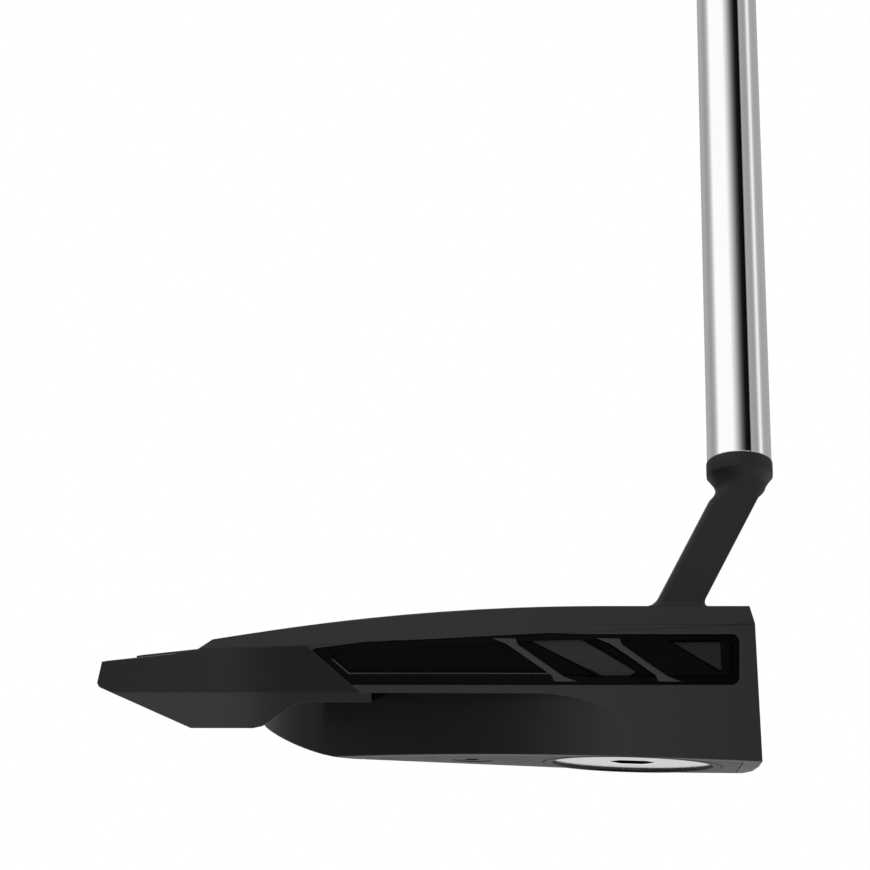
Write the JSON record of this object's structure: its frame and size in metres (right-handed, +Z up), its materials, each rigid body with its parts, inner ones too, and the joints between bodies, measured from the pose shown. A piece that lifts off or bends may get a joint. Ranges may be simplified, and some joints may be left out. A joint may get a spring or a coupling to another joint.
{
  "type": "mallet putter",
  "caption": "Mallet putter: winged head with side windows, removable sole weights, slanted neck, steel shaft over the neck's post and a pistol grip.",
  "frame": {"origin": "on the ground, on the sight line, in the middle of the flat land behind the leading edge", "axes": "+X to the target, +Y from toe to heel, +Z up"},
  "size_m": [0.1102, 0.3726, 0.8147],
  "materials": {
    "black_metal": "satin black, bead-blasted and anodised",
    "neck_metal": "satin black",
    "sole_metal": "fine matt grey",
    "window_black": "gloss black",
    "insert_metal": "milled grey",
    "pad_rubber": "matt",
    "weight_steel": "turned and polished",
    "screw_steel": "dark zinc",
    "line_paint": "white filler",
    "shaft_chrome": "mirror polished",
    "plug_cork": "foam",
    "tape_fabric": "woven tape",
    "grip_rubber": "fine texture"
  },
  "bodies": {
    "head": {"body": "black_metal", "crown": "black_metal", "sole_plate": "sole_metal", "sole_plate_screws": "screw_steel", "face_insert": "insert_metal", "insert_pad": "pad_rubber", "toe_wing": "black_metal", "heel_wing": "black_metal", "wing_screws": "screw_steel", "wing_dowels": "screw_steel", "toe_window_liner": "window_black", "heel_window_liner": "window_black", "sight_line": "line_paint", "hosel": "neck_metal", "hosel_screw": "screw_steel", "shaft": "shaft_chrome", "tip_plug": "plug_cork", "grip_tape": "tape_fabric", "grip": "grip_rubber", "grip_cap": "grip_rubber"},
    "toe_washer": {"toe_weight_washer": "pad_rubber"},
    "toe_weight": {"toe_weight": "weight_steel"},
    "heel_washer": {"heel_weight_washer": "pad_rubber"},
    "heel_weight": {"heel_weight": "weight_steel"}
  },
  "joints": [
    {"name": "toe_weight_draw", "type": "slide", "parent": "head", "child": "toe_washer", "axis": [-0.0311, -0.1201, -0.9923], "range_m": [0, 0.0075]},
    {"name": "toe_weight_turn", "type": "hinge", "parent": "toe_washer", "child": "toe_weight", "pos_m": [-0.01226, -0.03664, 0.00459], "axis": [-0.0311, -0.1201, -0.9923], "range_deg": [-2160, 0]},
    {"name": "heel_weight_draw", "type": "slide", "parent": "head", "child": "heel_washer", "axis": [-0.0311, 0.1201, -0.9923], "range_m": [0, 0.0075]},
    {"name": "heel_weight_turn", "type": "hinge", "parent": "heel_washer", "child": "heel_weight", "pos_m": [-0.01226, 0.03664, 0.00459], "axis": [-0.0311, 0.1201, -0.9923], "range_deg": [-2160, 0]}
  ],
  "couplings": [
    {"joint": "toe_weight_draw", "follows": "toe_weight_turn", "m_per_rad": -0.00019894},
    {"joint": "heel_weight_draw", "follows": "heel_weight_turn", "m_per_rad": -0.00019894}
  ]
}
